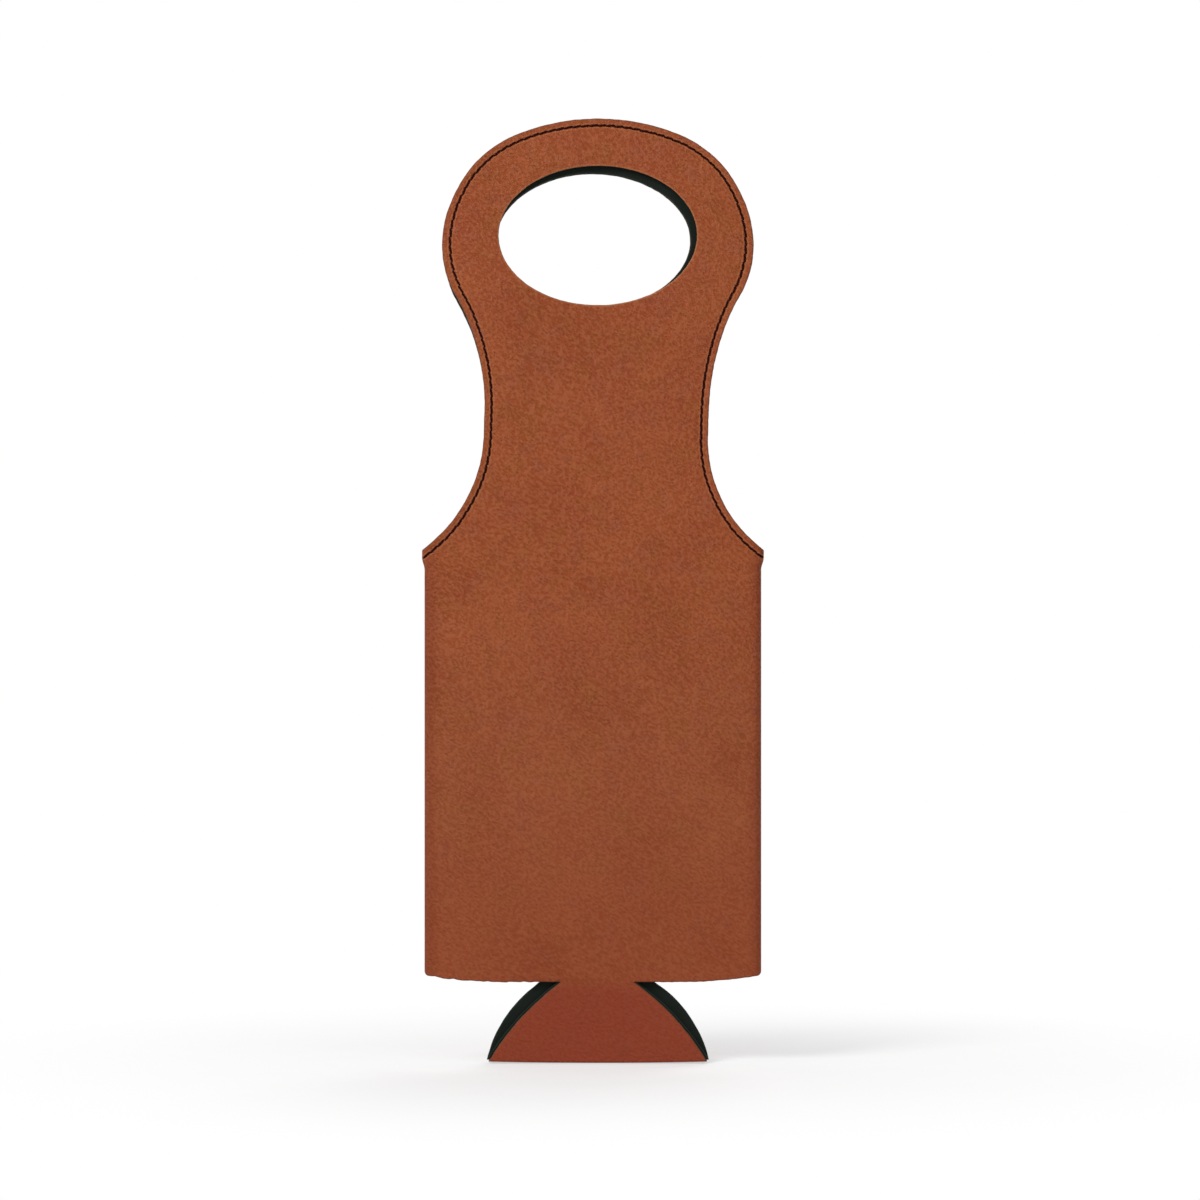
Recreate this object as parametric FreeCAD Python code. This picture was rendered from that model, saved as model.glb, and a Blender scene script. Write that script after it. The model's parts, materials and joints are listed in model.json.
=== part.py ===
import FreeCAD, Part
import math
import os

from FreeCAD import Vector

# Collapsible bottle carrier, lying flat as it is kept when empty.
# X is its width, Y its thickness with the front at -Y, Z its height.
# The origin is the grip: the top of the hand hole, midway between front and back.

# Outline of the flat carrier, in millimetres
wall_middle_width = 81.0
pocket_depth = 201.7
base_half_length = 37.5
bottom_edge_lift = 2.8
bottom_corner_radius = 2.2
shoulder_radius = 62.4
neck_width = 103.8
neck_straight = 11.4
neck_curve_radius = 113.4
handle_width = 142.6
handle_side_radius = 53.8
handle_crown_radius = 100.1
crown_band = 21.8
hand_hole_width = 91.7
hand_hole_height = 64.4

# The two halves of the base: their width at the crease and where each joins its wall, and the curve
# of their sides
base_crease_width = 101.3
base_front_root_width = 34.8
base_front_edge_radius = 120.0
base_back_root_width = 52.8
base_back_edge_radius = 67.0

# The laminated sheet
leather_thickness = 1.2
foam_thickness = 2.0

# Room left at each bend line, on each side of it, and between the front and back linings
bend_clearance = 0.15
lining_clearance = 0.15

# Topstitching along the shoulders and the handle, and the thread in the side seams
stitch_margin = 3.3
stitch_pitch = 3.9
stitch_gap = 0.8
stitch_width = 0.8
stitch_rise = 0.4
stitch_slant = 0.14
seam_thread_diameter = 0.5
seam_thread_fit = 0.02
seam_thread_clearance = 0.2

# Sizes that follow from the driving dimensions
wall_thickness = leather_thickness + foam_thickness
outer_face = lining_clearance + wall_thickness
glue_face = lining_clearance + foam_thickness
neck_half = neck_width / 2
handle_half = handle_width / 2

# A side wall is as wide as half the base is long, so the tube and the base open by the same angle
side_wall_width = base_half_length
bend_line = wall_middle_width / 2
body_half = bend_line + side_wall_width

# Heights above the base crease, from the bottom up
side_seam_top = base_half_length + pocket_depth
shoulder_reach = body_half - neck_half
shoulder_rise = math.sqrt(shoulder_radius**2 - (shoulder_radius - shoulder_reach) ** 2)
neck_bottom = side_seam_top + shoulder_rise
neck_top = neck_bottom + neck_straight
side_arc_offset = handle_half - handle_side_radius
flank_reach = neck_half + neck_curve_radius - side_arc_offset
handle_middle = neck_top + math.sqrt((handle_side_radius + neck_curve_radius) ** 2 - flank_reach**2)
crown_drop = math.sqrt((handle_crown_radius - handle_side_radius) ** 2 - side_arc_offset**2)
handle_top = handle_middle + handle_crown_radius - crown_drop
grip_height = handle_top - crown_band
handle_fold = (neck_bottom + neck_top) / 2

# The same levels measured from the grip
crease_level = -grip_height
wall_bottom_level = base_half_length - grip_height
side_top_level = side_seam_top - grip_height
neck_bottom_level = neck_bottom - grip_height
neck_top_level = neck_top - grip_height
fold_level = handle_fold - grip_height
handle_middle_level = handle_middle - grip_height
crown_centre_level = handle_top - handle_crown_radius - grip_height

# The lip at a side seam or at the base crease: the sheet turns in round a full-thickness radius
lip_tip = body_half - bend_clearance
lip_start = lip_tip - wall_thickness

# Blocks that cut a part to its outline reach this far past it
cut_margin = 5.0


def flat_point(x, z):
    return Vector(x, 0, z)


def arc_about(centre, start, end):
    """Arc under half a circle, round a known centre."""
    radius = start.sub(centre).Length
    middle = start.sub(centre).normalize().add(end.sub(centre).normalize()).normalize()
    return Part.Arc(start, centre.add(middle.multiply(radius)), end).toShape()


def arc_bulging(start, end, radius, bulge_towards):
    """Arc of a given radius through two points, on the side of a third point."""
    chord = end.sub(start)
    middle = start.add(chord.multiply(0.5))
    half_chord = end.sub(start).Length / 2
    height = radius - math.sqrt(radius**2 - half_chord**2)
    along = end.sub(start).normalize()
    out = bulge_towards.sub(middle)
    out = out.sub(Vector(along).multiply(out.dot(along))).normalize()
    return Part.Arc(start, middle.add(out.multiply(height)), end).toShape()


def line(start, end):
    return Part.LineSegment(start, end).toShape()


def mirror_x(shape):
    return shape.mirror(Vector(0, 0, 0), Vector(1, 0, 0))


def mirror_y(shape):
    return shape.mirror(Vector(0, 0, 0), Vector(0, 1, 0))


def slab(face, near, far):
    """Extrude an outline drawn at y = 0 into a sheet between two depths in front of it."""
    moved = face.copy()
    moved.translate(Vector(0, -far, 0))
    return moved.extrude(Vector(0, far - near, 0))


def handle_path(inset, foot_level):
    """The handle's edge, or a line inside it, from the left of the neck over the crown to the right."""
    crown_centre = flat_point(0, crown_centre_level)
    side_centre = flat_point(side_arc_offset, handle_middle_level)
    flank_centre = flat_point(neck_half + neck_curve_radius, neck_top_level)
    to_side = side_centre.sub(crown_centre).normalize()
    to_flank = flank_centre.sub(side_centre).normalize()
    crown_end = crown_centre.add(Vector(to_side).multiply(handle_crown_radius - inset))
    crown_start = flat_point(-crown_end.x, crown_end.z)
    side_end = side_centre.add(Vector(to_flank).multiply(handle_side_radius - inset))
    flank_end = flat_point(neck_half - inset, neck_top_level)
    foot = flat_point(neck_half - inset, foot_level)
    right = [
        arc_about(side_centre, crown_end, side_end),
        arc_about(flank_centre, side_end, flank_end),
        line(flank_end, foot),
    ]
    crown = arc_about(crown_centre, crown_start, crown_end)
    left = [mirror_x(edge) for edge in reversed(right)]
    return left + [crown] + right


def hand_hole():
    hole = Part.Ellipse(Vector(0, 0, 0), hand_hole_width / 2, hand_hole_height / 2).toShape()
    hole.rotate(Vector(0, 0, 0), Vector(1, 0, 0), 90)
    hole.translate(Vector(0, 0, -hand_hole_height / 2))
    return Part.Face(Part.Wire(hole))


def handle_outline():
    foot_level = fold_level + bend_clearance
    edges = handle_path(0, foot_level)
    edges.append(line(flat_point(neck_half, foot_level), flat_point(-neck_half, foot_level)))
    outer = Part.Face(Part.Wire(Part.__sortEdges__(edges)))
    return outer.cut(hand_hole())


def wall_outline():
    """Middle of a wall, between its two bend lines."""
    half = bend_line - bend_clearance
    bottom = wall_bottom_level + bend_clearance
    top = fold_level - bend_clearance
    corners = [(-half, bottom), (half, bottom), (half, top), (-half, top), (-half, bottom)]
    return Part.Face(Part.makePolygon([flat_point(x, z) for x, z in corners]))


def side_block():
    """Block with the right side wall's outline: bottom edge, shoulder and neck."""
    inner = bend_line + bend_clearance
    outer = body_half + cut_margin
    bottom = wall_bottom_level + bend_clearance
    top = fold_level - bend_clearance
    bottom_run = lip_tip - bottom_corner_radius - inner
    lift_radius = (bottom_run**2 + bottom_edge_lift**2) / (2 * bottom_edge_lift)
    bottom_start = flat_point(inner, bottom)
    bottom_end = flat_point(lip_tip - bottom_corner_radius, bottom + bottom_edge_lift)
    corner_centre = flat_point(bottom_end.x, bottom_end.z + bottom_corner_radius)
    corner_end = flat_point(lip_tip, corner_centre.z)
    shoulder_centre = flat_point(neck_half + shoulder_radius, neck_bottom_level)
    shoulder_end = flat_point(body_half, side_top_level)
    neck_foot = flat_point(neck_half, neck_bottom_level)
    far_bottom = flat_point(outer, corner_end.z)
    far_top = flat_point(outer, side_top_level)
    neck_corner = flat_point(neck_half, top)
    inner_corner = flat_point(inner, top)
    edges = [
        arc_bulging(bottom_start, bottom_end, lift_radius, flat_point(bend_line, crease_level)),
        arc_about(corner_centre, bottom_end, corner_end),
        line(corner_end, far_bottom),
        line(far_bottom, far_top),
        line(far_top, shoulder_end),
        arc_about(shoulder_centre, shoulder_end, neck_foot),
        line(neck_foot, neck_corner),
        line(neck_corner, inner_corner),
        line(inner_corner, bottom_start),
    ]
    return slab(Part.Face(Part.Wire(edges)), 0, outer_face + cut_margin)


def leather_profile(run_start):
    """Section of the leather, as (along, depth) points: flat, then turned in to the middle plane.

    The turn is centred on the lining's inner face, so the leather and the foam share its centre."""
    turn_centre = Vector(lip_start, lining_clearance, 0)
    outer_start = Vector(lip_start, outer_face, 0)
    outer_end = Vector(lip_tip, lining_clearance, 0)
    inner_start = Vector(lip_start, glue_face, 0)
    inner_end = Vector(lip_tip - leather_thickness, lining_clearance, 0)
    run_outer = Vector(run_start, outer_face, 0)
    run_inner = Vector(run_start, glue_face, 0)
    edges = [
        line(run_outer, outer_start),
        arc_about(turn_centre, outer_start, outer_end),
        line(outer_end, inner_end),
        arc_about(turn_centre, inner_end, inner_start),
        line(inner_start, run_inner),
        line(run_inner, run_outer),
    ]
    return Part.Face(Part.Wire(edges))


def foam_profile(run_start):
    """Section of the foam, which fills the leather's turn."""
    turn_centre = Vector(lip_start, lining_clearance, 0)
    turn_start = Vector(lip_start, glue_face, 0)
    turn_end = Vector(lip_tip - leather_thickness, lining_clearance, 0)
    run_outer = Vector(run_start, glue_face, 0)
    run_inner = Vector(run_start, lining_clearance, 0)
    edges = [
        line(run_outer, turn_start),
        arc_about(turn_centre, turn_start, turn_end),
        line(turn_end, run_inner),
        line(run_inner, run_outer),
    ]
    return Part.Face(Part.Wire(edges))


def side_wall(profile):
    """Front right side wall cut from an upright extrusion of its section."""
    low = wall_bottom_level - cut_margin
    high = fold_level + cut_margin
    strip = profile.extrude(Vector(0, 0, high - low))
    strip.translate(Vector(0, 0, low))
    strip = mirror_y(strip)
    return strip.common(side_block())


def seam_channel(diameter):
    """Round groove along the side seam for its thread."""
    height = side_top_level - crease_level
    x = lip_tip - leather_thickness / 2
    return Part.makeCylinder(diameter / 2, height, Vector(x, 0, crease_level))


def seam_thread():
    low = wall_bottom_level + bottom_edge_lift + bottom_corner_radius
    high = side_top_level - bottom_corner_radius
    x = lip_tip - leather_thickness / 2
    return Part.makeCylinder(seam_thread_diameter / 2, high - low, Vector(x, 0, low))


def base_block(root_width, edge_radius):
    """Block with the outline of one half of the base."""
    top = wall_bottom_level - bend_clearance
    low = crease_level - cut_margin
    root = root_width / 2
    crease = base_crease_width / 2
    edge_top = flat_point(root, top)
    edge_foot = flat_point(crease, crease_level)
    corner = flat_point(crease, low)
    right_edge = arc_bulging(edge_foot, edge_top, edge_radius, flat_point(crease, top))
    edges = [
        right_edge,
        line(edge_top, flat_point(-root, top)),
        mirror_x(right_edge),
        line(flat_point(-crease, crease_level), flat_point(-crease, low)),
        line(flat_point(-crease, low), corner),
        line(corner, edge_foot),
    ]
    return slab(Part.Face(Part.Wire(Part.__sortEdges__(edges))), 0, outer_face + cut_margin)


def base_half(profile, block):
    """Front half of the base: the same lip, turned to lie along the crease."""
    span = base_crease_width + cut_margin
    strip = profile.extrude(Vector(0, 0, span))
    strip.translate(Vector(-body_half, 0, -span / 2))
    strip.rotate(Vector(0, 0, 0), Vector(0, 1, 0), 90)
    strip.translate(Vector(0, 0, crease_level))
    strip = mirror_y(strip)
    return strip.common(block)


def stitch(start, end):
    """One stitch lying on the leather, a flat bar with pointed ends, a little askew."""
    along = end.sub(start).normalize()
    across = Vector(-along.z, 0, along.x)
    first = start.add(Vector(along).multiply(stitch_gap / 2)).add(Vector(across).multiply(-stitch_slant))
    last = end.add(Vector(along).multiply(-stitch_gap / 2)).add(Vector(across).multiply(stitch_slant))
    taper = Vector(along).multiply(stitch_width / 2)
    side = Vector(across).multiply(stitch_width / 2)
    corners = [
        first,
        first.add(taper).sub(side),
        last.sub(taper).sub(side),
        last,
        last.sub(taper).add(side),
        first.add(taper).add(side),
        first,
    ]
    bar = Part.Face(Part.makePolygon(corners))
    return slab(bar, outer_face, outer_face + stitch_rise)


def stitch_row(edges):
    path = Part.Wire(Part.__sortEdges__(edges))
    count = round(path.Length / stitch_pitch)
    points = path.discretize(Number=count + 1)
    return Part.Compound([stitch(a, b) for a, b in zip(points, points[1:])])


def handle_stitching():
    return stitch_row(handle_path(stitch_margin, fold_level + stitch_pitch / 2))


def side_stitching():
    """Along the right shoulder, from the neck to where the leather turns in at the side seam."""
    centre = flat_point(neck_half + shoulder_radius, neck_bottom_level)
    radius = shoulder_radius + stitch_margin
    drop = math.sqrt(radius**2 - (centre.x - lip_start) ** 2)
    neck_start = flat_point(neck_half - stitch_margin, fold_level - stitch_pitch / 2)
    neck_foot = flat_point(neck_half - stitch_margin, neck_bottom_level)
    seam_end = flat_point(lip_start, neck_bottom_level - drop)
    return stitch_row([line(neck_start, neck_foot), arc_about(centre, neck_foot, seam_end)])


# Pieces of the front, in front of the middle plane
handle_face = handle_outline()
wall_face = wall_outline()
side_leather = side_wall(leather_profile(bend_line + bend_clearance))
side_foam = side_wall(foam_profile(bend_line + bend_clearance))
base_start = body_half - base_half_length
front_base = base_block(base_front_root_width, base_front_edge_radius)
back_base = base_block(base_back_root_width, base_back_edge_radius)
thread_groove = seam_channel(seam_thread_diameter + 2 * seam_thread_fit)
open_groove = seam_channel(seam_thread_diameter + 2 * seam_thread_clearance)
held_side_leather = side_leather.cut(thread_groove)
free_side_leather = side_leather.cut(open_groove)

front = {
    "wall_leather": slab(wall_face, glue_face, outer_face),
    "wall_foam": slab(wall_face, lining_clearance, glue_face),
    "right_leather": held_side_leather,
    "right_foam": side_foam,
    "right_stitching": side_stitching(),
    "left_leather": mirror_x(held_side_leather),
    "left_foam": mirror_x(side_foam),
    "left_stitching": mirror_x(side_stitching()),
    "base_leather": base_half(leather_profile(base_start), front_base),
    "base_foam": base_half(foam_profile(base_start), front_base),
    "handle_leather": slab(handle_face, glue_face, outer_face),
    "handle_foam": slab(handle_face, lining_clearance, glue_face),
    "handle_stitching": handle_stitching(),
}

# The back is the front's mirror image, but for its wider half of the base and its free seam edges
back = {name: mirror_y(shape) for name, shape in front.items()}
back["right_leather"] = mirror_y(free_side_leather)
back["left_leather"] = mirror_y(mirror_x(free_side_leather))
back["base_leather"] = mirror_y(base_half(leather_profile(base_start), back_base))
back["base_foam"] = mirror_y(base_half(foam_profile(base_start), back_base))

pieces = {}
for name, shape in front.items():
    pieces["front_" + name] = shape
for name, shape in back.items():
    pieces["back_" + name] = shape
pieces["right_seam_thread"] = seam_thread()
pieces["left_seam_thread"] = mirror_x(seam_thread())

os.makedirs("parts", exist_ok=True)
for name, shape in pieces.items():
    shape.exportStep("parts/" + name + ".step")
    print(name, len(shape.Solids), "solids", round(shape.Volume, 1), "mm3", shape.isValid())

print("grip above crease", round(grip_height, 2), "top", round(crown_band, 2))
print("wall bottom", round(wall_bottom_level, 2), "fold", round(fold_level, 2), "bend line", bend_line)
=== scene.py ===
# %% [markdown]
# # A flat-folding bottle carrier
#
# The carrier is one long piece of tan leatherette glued to black foam. It is folded in two at the base,
# sewn up both sides, and has an oval hand hole in the loop at each end. Lying empty it is as flat as a
# glove, so its looks are in its outline, its cut edges, its stitches and its grain.
#
# The solid model holds the sizes and the bend lines. This script dresses it: it cuts the same outline out
# of finely divided sheets and lays them where the solids are.

# %% Load the solid model
import json
import math

import bpy
import numpy as np
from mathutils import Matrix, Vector
from mathutils.geometry import delaunay_2d_cdt
from mathutils.kdtree import KDTree


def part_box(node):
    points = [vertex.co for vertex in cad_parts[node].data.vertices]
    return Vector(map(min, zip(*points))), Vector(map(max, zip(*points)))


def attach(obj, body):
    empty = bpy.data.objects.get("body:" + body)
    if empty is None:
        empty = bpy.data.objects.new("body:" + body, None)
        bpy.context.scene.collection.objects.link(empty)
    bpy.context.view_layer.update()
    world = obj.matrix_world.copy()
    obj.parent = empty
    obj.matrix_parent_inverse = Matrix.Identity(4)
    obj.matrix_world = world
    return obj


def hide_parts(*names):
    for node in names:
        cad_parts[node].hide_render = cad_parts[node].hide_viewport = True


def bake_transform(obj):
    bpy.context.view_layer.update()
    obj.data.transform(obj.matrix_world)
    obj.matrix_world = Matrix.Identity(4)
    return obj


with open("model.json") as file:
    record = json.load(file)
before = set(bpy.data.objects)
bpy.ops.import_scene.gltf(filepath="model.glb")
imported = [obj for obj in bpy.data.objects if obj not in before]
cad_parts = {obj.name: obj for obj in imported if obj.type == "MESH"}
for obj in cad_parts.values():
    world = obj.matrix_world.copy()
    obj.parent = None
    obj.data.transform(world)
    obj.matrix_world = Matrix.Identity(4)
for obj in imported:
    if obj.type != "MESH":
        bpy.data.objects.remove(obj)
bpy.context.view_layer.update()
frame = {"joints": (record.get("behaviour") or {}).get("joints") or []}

mm = 0.001

# %% [markdown]
# ## Sizes from the solid model
#
# Typing a size twice is how two models drift apart, so levels, widths and depths are read from the
# solids' boxes and from the joints. Plans are in millimetres, x across and z up, and become metres when a
# mesh is made. The side seams lie at their joint, less a hair of slack, so that their two lips just meet
# when the pocket is open.

# %% Read the levels and depths
seam_slack = 0.07


def node_box(node):
    low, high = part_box(node)
    return np.array(low) / mm, np.array(high) / mm


joint_at = {joint["name"]: np.array(joint["pos_m"]) / mm for joint in frame["joints"]}
wall_low, wall_high = node_box("front_wall_leather")
base_low, base_high = node_box("front_base_leather")
handle_high = node_box("front_handle_leather")[1]
outer_face = -wall_low[1]
glue_face = -wall_high[1]
lining_face = -node_box("front_wall_foam")[1][1]
bend_line = joint_at["front_right_bend"][0]
wall_bottom = joint_at["front_base_bend"][2]
fold_level = joint_at["front_handle_bend"][2]
seam_edge = abs(joint_at["left_seam_bend"][0]) - seam_slack
crease_level, crease_half = base_low[2], base_high[0]
handle_top, handle_half = handle_high[2], handle_high[0]
print("leather from", round(glue_face, 2), "to", round(outer_face, 2), "mm off the middle plane")

# %% [markdown]
# ## The outline
#
# The cutting die has straight runs and arcs that flow into each other: crown, side of the loop, flank,
# neck, shoulder. An arc needs only a centre and a radius, and the stitch line a few millimetres inside it
# is the same arc with another radius. The radii are typed again here, because a box can't tell them.

# %% Draw arcs and lines
neck_half = 51.9
neck_straight = 11.4
flank_radius = 113.4
side_radius = 53.8
crown_radius = 100.1
shoulder_radius = 62.4
neck_top = fold_level + neck_straight / 2
neck_bottom = fold_level - neck_straight / 2
crown_centre = np.array([0, handle_top - crown_radius])
side_offset = handle_half - side_radius
side_rise = math.sqrt((crown_radius - side_radius) ** 2 - side_offset**2)
side_centre = crown_centre + (side_offset, side_rise)
flank_centre = np.array([neck_half + flank_radius, neck_top])
shoulder_centre = np.array([neck_half + shoulder_radius, neck_bottom])


def circle(angles):
    return np.column_stack((np.cos(angles), np.sin(angles)))


def full_turn(count):
    return np.linspace(0, 2 * math.pi, count, endpoint=False)


def arc(centre, radius, first, last, step):
    count = max(2, math.ceil(radius * abs(last - first) / step))
    return centre + radius * circle(np.linspace(first, last, count + 1))


def straight(start, end, step):
    count = max(1, math.ceil(math.dist(start, end) / step))
    return np.linspace(start, end, count + 1)


def joined(*runs):
    """One path from runs that each start where the last one ends."""
    return np.concatenate([runs[0]] + [run[1:] for run in runs[1:]])


def direction(start, end):
    return math.atan2(end[1] - start[1], end[0] - start[0])


def stitched_edge(inset, end_x, step):
    """Right half of the edge from the crown's middle to the side seam, moved inwards by an inset."""
    crown_end = direction(crown_centre, side_centre)
    side_end = direction(side_centre, flank_centre)
    shoulder_end = math.pi + math.acos((shoulder_centre[0] - end_x) / (shoulder_radius + inset))
    return joined(
        arc(crown_centre, crown_radius - inset, math.pi / 2, crown_end, step),
        arc(side_centre, side_radius - inset, crown_end, side_end, step),
        arc(flank_centre, flank_radius + inset, side_end + math.pi, math.pi, step),
        straight((neck_half - inset, neck_top), (neck_half - inset, neck_bottom), step),
        arc(shoulder_centre, shoulder_radius + inset, math.pi, shoulder_end, step),
    )


seam_top = stitched_edge(0, seam_edge, 1.0)[-1, 1]
print("side seams end at", round(seam_top, 1), "mm")

# %% [markdown]
# Below the seams the outline goes round the bottom corners, along the wall's bottom edge and down the
# curved sides of the base. The front half of the base is narrower at its root than the back half, so dark
# foam shows on both sides of it from the front.

# %% Close the outline round the base
bottom_lift = 2.8
corner_radius = 2.2
base_roots = {"front": 17.0, "back": 25.0}
base_edge_radii = {"front": 120.0, "back": 60.0}
hole_centre = np.array([0, -32.2])
hole_half_width, hole_half_height = 45.85, 32.2


def bulging(start, end, radius, step):
    """Arc from start to end that bulges to the left of the way between them."""
    start, end = np.array(start), np.array(end)
    half_chord = math.dist(start, end) / 2
    left = np.array([start[1] - end[1], end[0] - start[0]]) / (2 * half_chord)
    centre = (start + end) / 2 - left * math.sqrt(radius**2 - half_chord**2)
    return arc(centre, radius, direction(centre, start), direction(centre, end), step)


def bottom_edge(end_x, start_x, level, step):
    """Bottom of a side wall, rising gently from the bend line to the corner."""
    x = straight((end_x, 0), (start_x, 0), step)[:, 0]
    return np.column_stack((x, level + bottom_lift * ((x - start_x) / (end_x - start_x)) ** 2))


def outline(side, inset, base_inset, seam_x, crease, step):
    """Closed outline of the front or the back, clockwise from the crown."""
    top = stitched_edge(inset, seam_x, step)
    level = wall_bottom + inset
    corner = np.array([seam_x - corner_radius, level + bottom_lift + corner_radius])
    root = (base_roots[side] - base_inset, level)
    crease_end = (crease_half - base_inset, crease)
    right = joined(
        top,
        straight(top[-1], (seam_x, corner[1]), step),
        arc(corner, corner_radius, 0, -math.pi / 2, step / 2),
        bottom_edge(corner[0], bend_line, level, step),
        straight((bend_line, level), root, step),
        bulging(root, crease_end, base_edge_radii[side], step),
        straight(crease_end, (0, crease), step),
    )
    left = right[::-1][1:-1] * (-1, 1)
    return np.concatenate((right, left))


def hole_outline(inset, step):
    """The hand hole, counter-clockwise, so that the sheet is always on the right of its edge."""
    count = math.ceil(math.pi * (hole_half_width + hole_half_height) / step)
    radii = np.array([hole_half_width + inset, hole_half_height + inset])
    return hole_centre + radii * circle(full_turn(count))


front_outline = outline("front", 0, 0, seam_edge, crease_level, 1.0)
print("outline has", len(front_outline), "points at 1 mm")

# %% [markdown]
# ## Distances
#
# Almost everything about a sheet depends on how far a point is from an edge, the hole or the stitch line.
# A search tree finds the nearest corner of a path quickly, and the two steps beside it give the exact
# distance.

# %% Measure distances in the plan
def step_lengths(path):
    return np.linalg.norm(np.diff(path, axis=0), axis=1)


def nearest_on(points, path):
    """Distance from each point to a path, and how far along the path that nearest place is."""
    lengths = step_lengths(path)
    before = np.concatenate(([0], np.cumsum(lengths)))
    tree = KDTree(len(path))
    for index, (x, z) in enumerate(path):
        tree.insert((x, z, 0), index)
    tree.balance()
    corner = np.array([tree.find((x, z, 0))[1] for x, z in points])
    distance = np.full(len(points), np.inf)
    along = np.zeros(len(points))
    for step in (np.maximum(corner - 1, 0), np.minimum(corner, len(path) - 2)):
        way = path[step + 1] - path[step]
        away = points - path[step]
        share = np.clip((away * way).sum(1) / lengths[step] ** 2, 0, 1)
        gap = np.linalg.norm(away - share[:, None] * way, axis=1)
        along = np.where(gap < distance, before[step] + share * lengths[step], along)
        distance = np.minimum(gap, distance)
    return distance, along


def closed(loop):
    return np.concatenate((loop, loop[:1]))


def enclosed(points, loop):
    """Which points lie inside a closed outline."""
    start, end = loop, np.roll(loop, -1, axis=0)
    found = np.zeros(len(points), bool)
    for first in range(0, len(points), 1000):
        some = slice(first, first + 1000)
        x, z = points[some, :1], points[some, 1:]
        spans = (start[:, 1] > z) != (end[:, 1] > z)
        rise = np.where(end[:, 1] == start[:, 1], 1, end[:, 1] - start[:, 1])
        crossing = start[:, 0] + (z - start[:, 1]) / rise * (end[:, 0] - start[:, 0])
        found[some] = (spans & (x < crossing)).sum(1) % 2 == 1
    return found


inside_by = nearest_on(hole_centre[None], closed(front_outline))[0][0]
print("the hole's centre is", round(inside_by, 1), "mm inside the edge")

# %% [markdown]
# ## Dividing a sheet into a mesh
#
# A plain grid would show as a staircase at the edges. Here rows of points follow the edges, closest
# together where the leather rounds over and dips at the stitches, and a jittered honeycomb fills the
# middle. A constrained Delaunay triangulation joins them up and keeps the cut lines, where the sheet is
# later divided into pieces that bend at different joints.

# %% Triangulate a plan
def inward_ways(loop):
    """Way of length 1 into the sheet, at each point of an outline."""
    ahead = np.roll(loop, -1, axis=0) - np.roll(loop, 1, axis=0)
    return np.column_stack((ahead[:, 1], -ahead[:, 0])) / np.linalg.norm(ahead, axis=1)[:, None]


def honeycomb(low, high, pitch, seed):
    x, z = np.meshgrid(np.arange(low[0], high[0], pitch), np.arange(low[1], high[1], pitch * 0.866))
    x[1::2] += pitch / 2
    jitter = np.random.default_rng(seed).uniform(-0.15, 0.15, (x.size, 2)) * pitch
    return np.column_stack((x.ravel(), z.ravel())) + jitter


def twice_areas(corners):
    """Twice the area of each triangle of a plan, below 0 where it runs clockwise."""
    one, two = corners[:, 1] - corners[:, 0], corners[:, 2] - corners[:, 0]
    return one[:, 0] * two[:, 1] - one[:, 1] * two[:, 0]


def plan_mesh(loops, cuts, insets, pitch, seed):
    """Points and triangles of a sheet with an outline, a hole and cut lines."""
    edges = [closed(loop) for loop in loops]

    def edge_gap(points):
        return np.minimum.reduce([nearest_on(points, edge)[0] for edge in edges])

    def in_sheet(points):
        return enclosed(points, loops[0]) & ~enclosed(points, loops[1])

    chosen = []
    for loop in loops:
        for inset in insets:
            row = loop + inward_ways(loop) * inset
            chosen.append(row[edge_gap(row) > 0.97 * inset])
    middle = honeycomb(loops[0].min(0), loops[0].max(0), pitch, seed)
    chosen.append(middle[edge_gap(middle) > insets[-1] + pitch / 2])
    free = np.concatenate(chosen)
    free = free[in_sheet(free)]
    lines = []
    for start, end in cuts:
        fine = straight(start, end, pitch / 6)
        keep = (edge_gap(fine) < 2 * insets[-1]) | (np.arange(len(fine)) % 6 == 0)
        keep[-1] = True
        lines.append(fine[keep])
        free = free[nearest_on(free, lines[-1])[0] > pitch / 8]
    points = list(free)
    kept_edges = []
    for path in loops + lines:
        first, count = len(points), len(path)
        points.extend(path)
        steps = count if any(path is loop for loop in loops) else count - 1
        kept_edges += [(first + i, first + (i + 1) % count) for i in range(steps)]
    flat = [Vector(point) for point in points]
    made, _, faces, *_ = delaunay_2d_cdt(flat, kept_edges, [], 0, 1e-4)
    places = np.array([tuple(point) for point in made])
    triangles = np.array([face for face in faces if len(face) == 3])
    triangles = triangles[in_sheet(places[triangles].mean(1))]
    clockwise = twice_areas(places[triangles]) < 0
    triangles[clockwise] = triangles[clockwise][:, ::-1]
    return places, triangles


print("honeycomb points in a square of 100 mm:", len(honeycomb((0, 0), (100, 100), 5.0, 1)))

# %% [markdown]
# ## How the soft sheet lies
#
# Nothing on a sewn bag is quite straight. The loop and the base lean to the right, the shoulders droop
# and stand out at their corners, and the back loop has slipped down and to the left, so that its black
# foam shows as a crescent in the hand hole. The back's corners step in where the front's stand out, so
# the seams still meet when the pocket opens. All layers waver together by a tenth of a millimetre, or a
# straight slit would show between the linings from the side.

# %% Lay a point of the plan in space
loop_lean = 2.3
loop_lean_levels = (seam_top - 10, fold_level + 40)
base_lean_levels = (wall_bottom + 35, wall_bottom - 12)
base_lean_reach = (28, 64)
corner_flare = 1.2
flare_levels = (seam_top - 9, seam_top - 3.5)
flare_reach = (62, seam_edge)
corner_drop = 2.2
drop_levels = (seam_top - 60, seam_top)
drop_reach = (56, seam_edge + 4)
crease_bow = 0.5
back_slip = (-3.1, -3.6)
slip_levels = ((-110, -40), (-130, 10))
slip_reach = (-72, 40)
slip_at_left = 0.25
waver_height = 0.1
seam_hold = (3.2, 22)


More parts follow.
